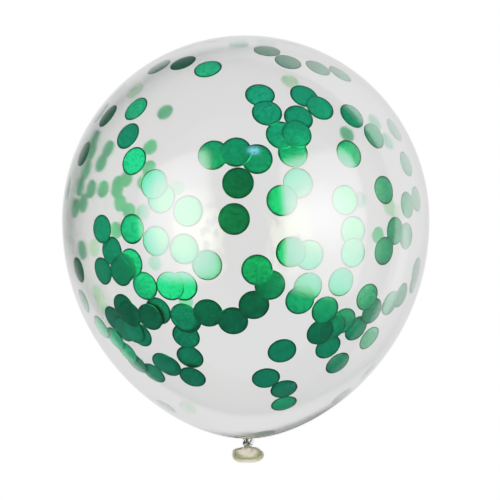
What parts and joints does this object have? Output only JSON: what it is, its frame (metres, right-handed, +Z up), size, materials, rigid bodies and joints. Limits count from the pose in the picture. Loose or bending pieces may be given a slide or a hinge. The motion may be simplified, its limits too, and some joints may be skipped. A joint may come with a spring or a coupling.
{
  "type": "confetti balloon",
  "caption": "Clear latex party balloon with green foil disc confetti inside, tied off at the neck with a knot and a rolled lip, lying on its side.",
  "frame": {"origin": "middle of the flat spot that the balloon lies on, straight below its widest ring, with the lowest face at z = 0", "axes": "+Z up, +Y along the long axis from the knot towards the crown, +X to the right seen from above with the crown away from the viewer"},
  "size_m": [0.27, 0.3194, 0.2685],
  "materials": {
    "clear_latex": "polished",
    "green_foil": "satin"
  },
  "bodies": {
    "root": {"balloon": "clear_latex"}
  },
  "joints": []
}
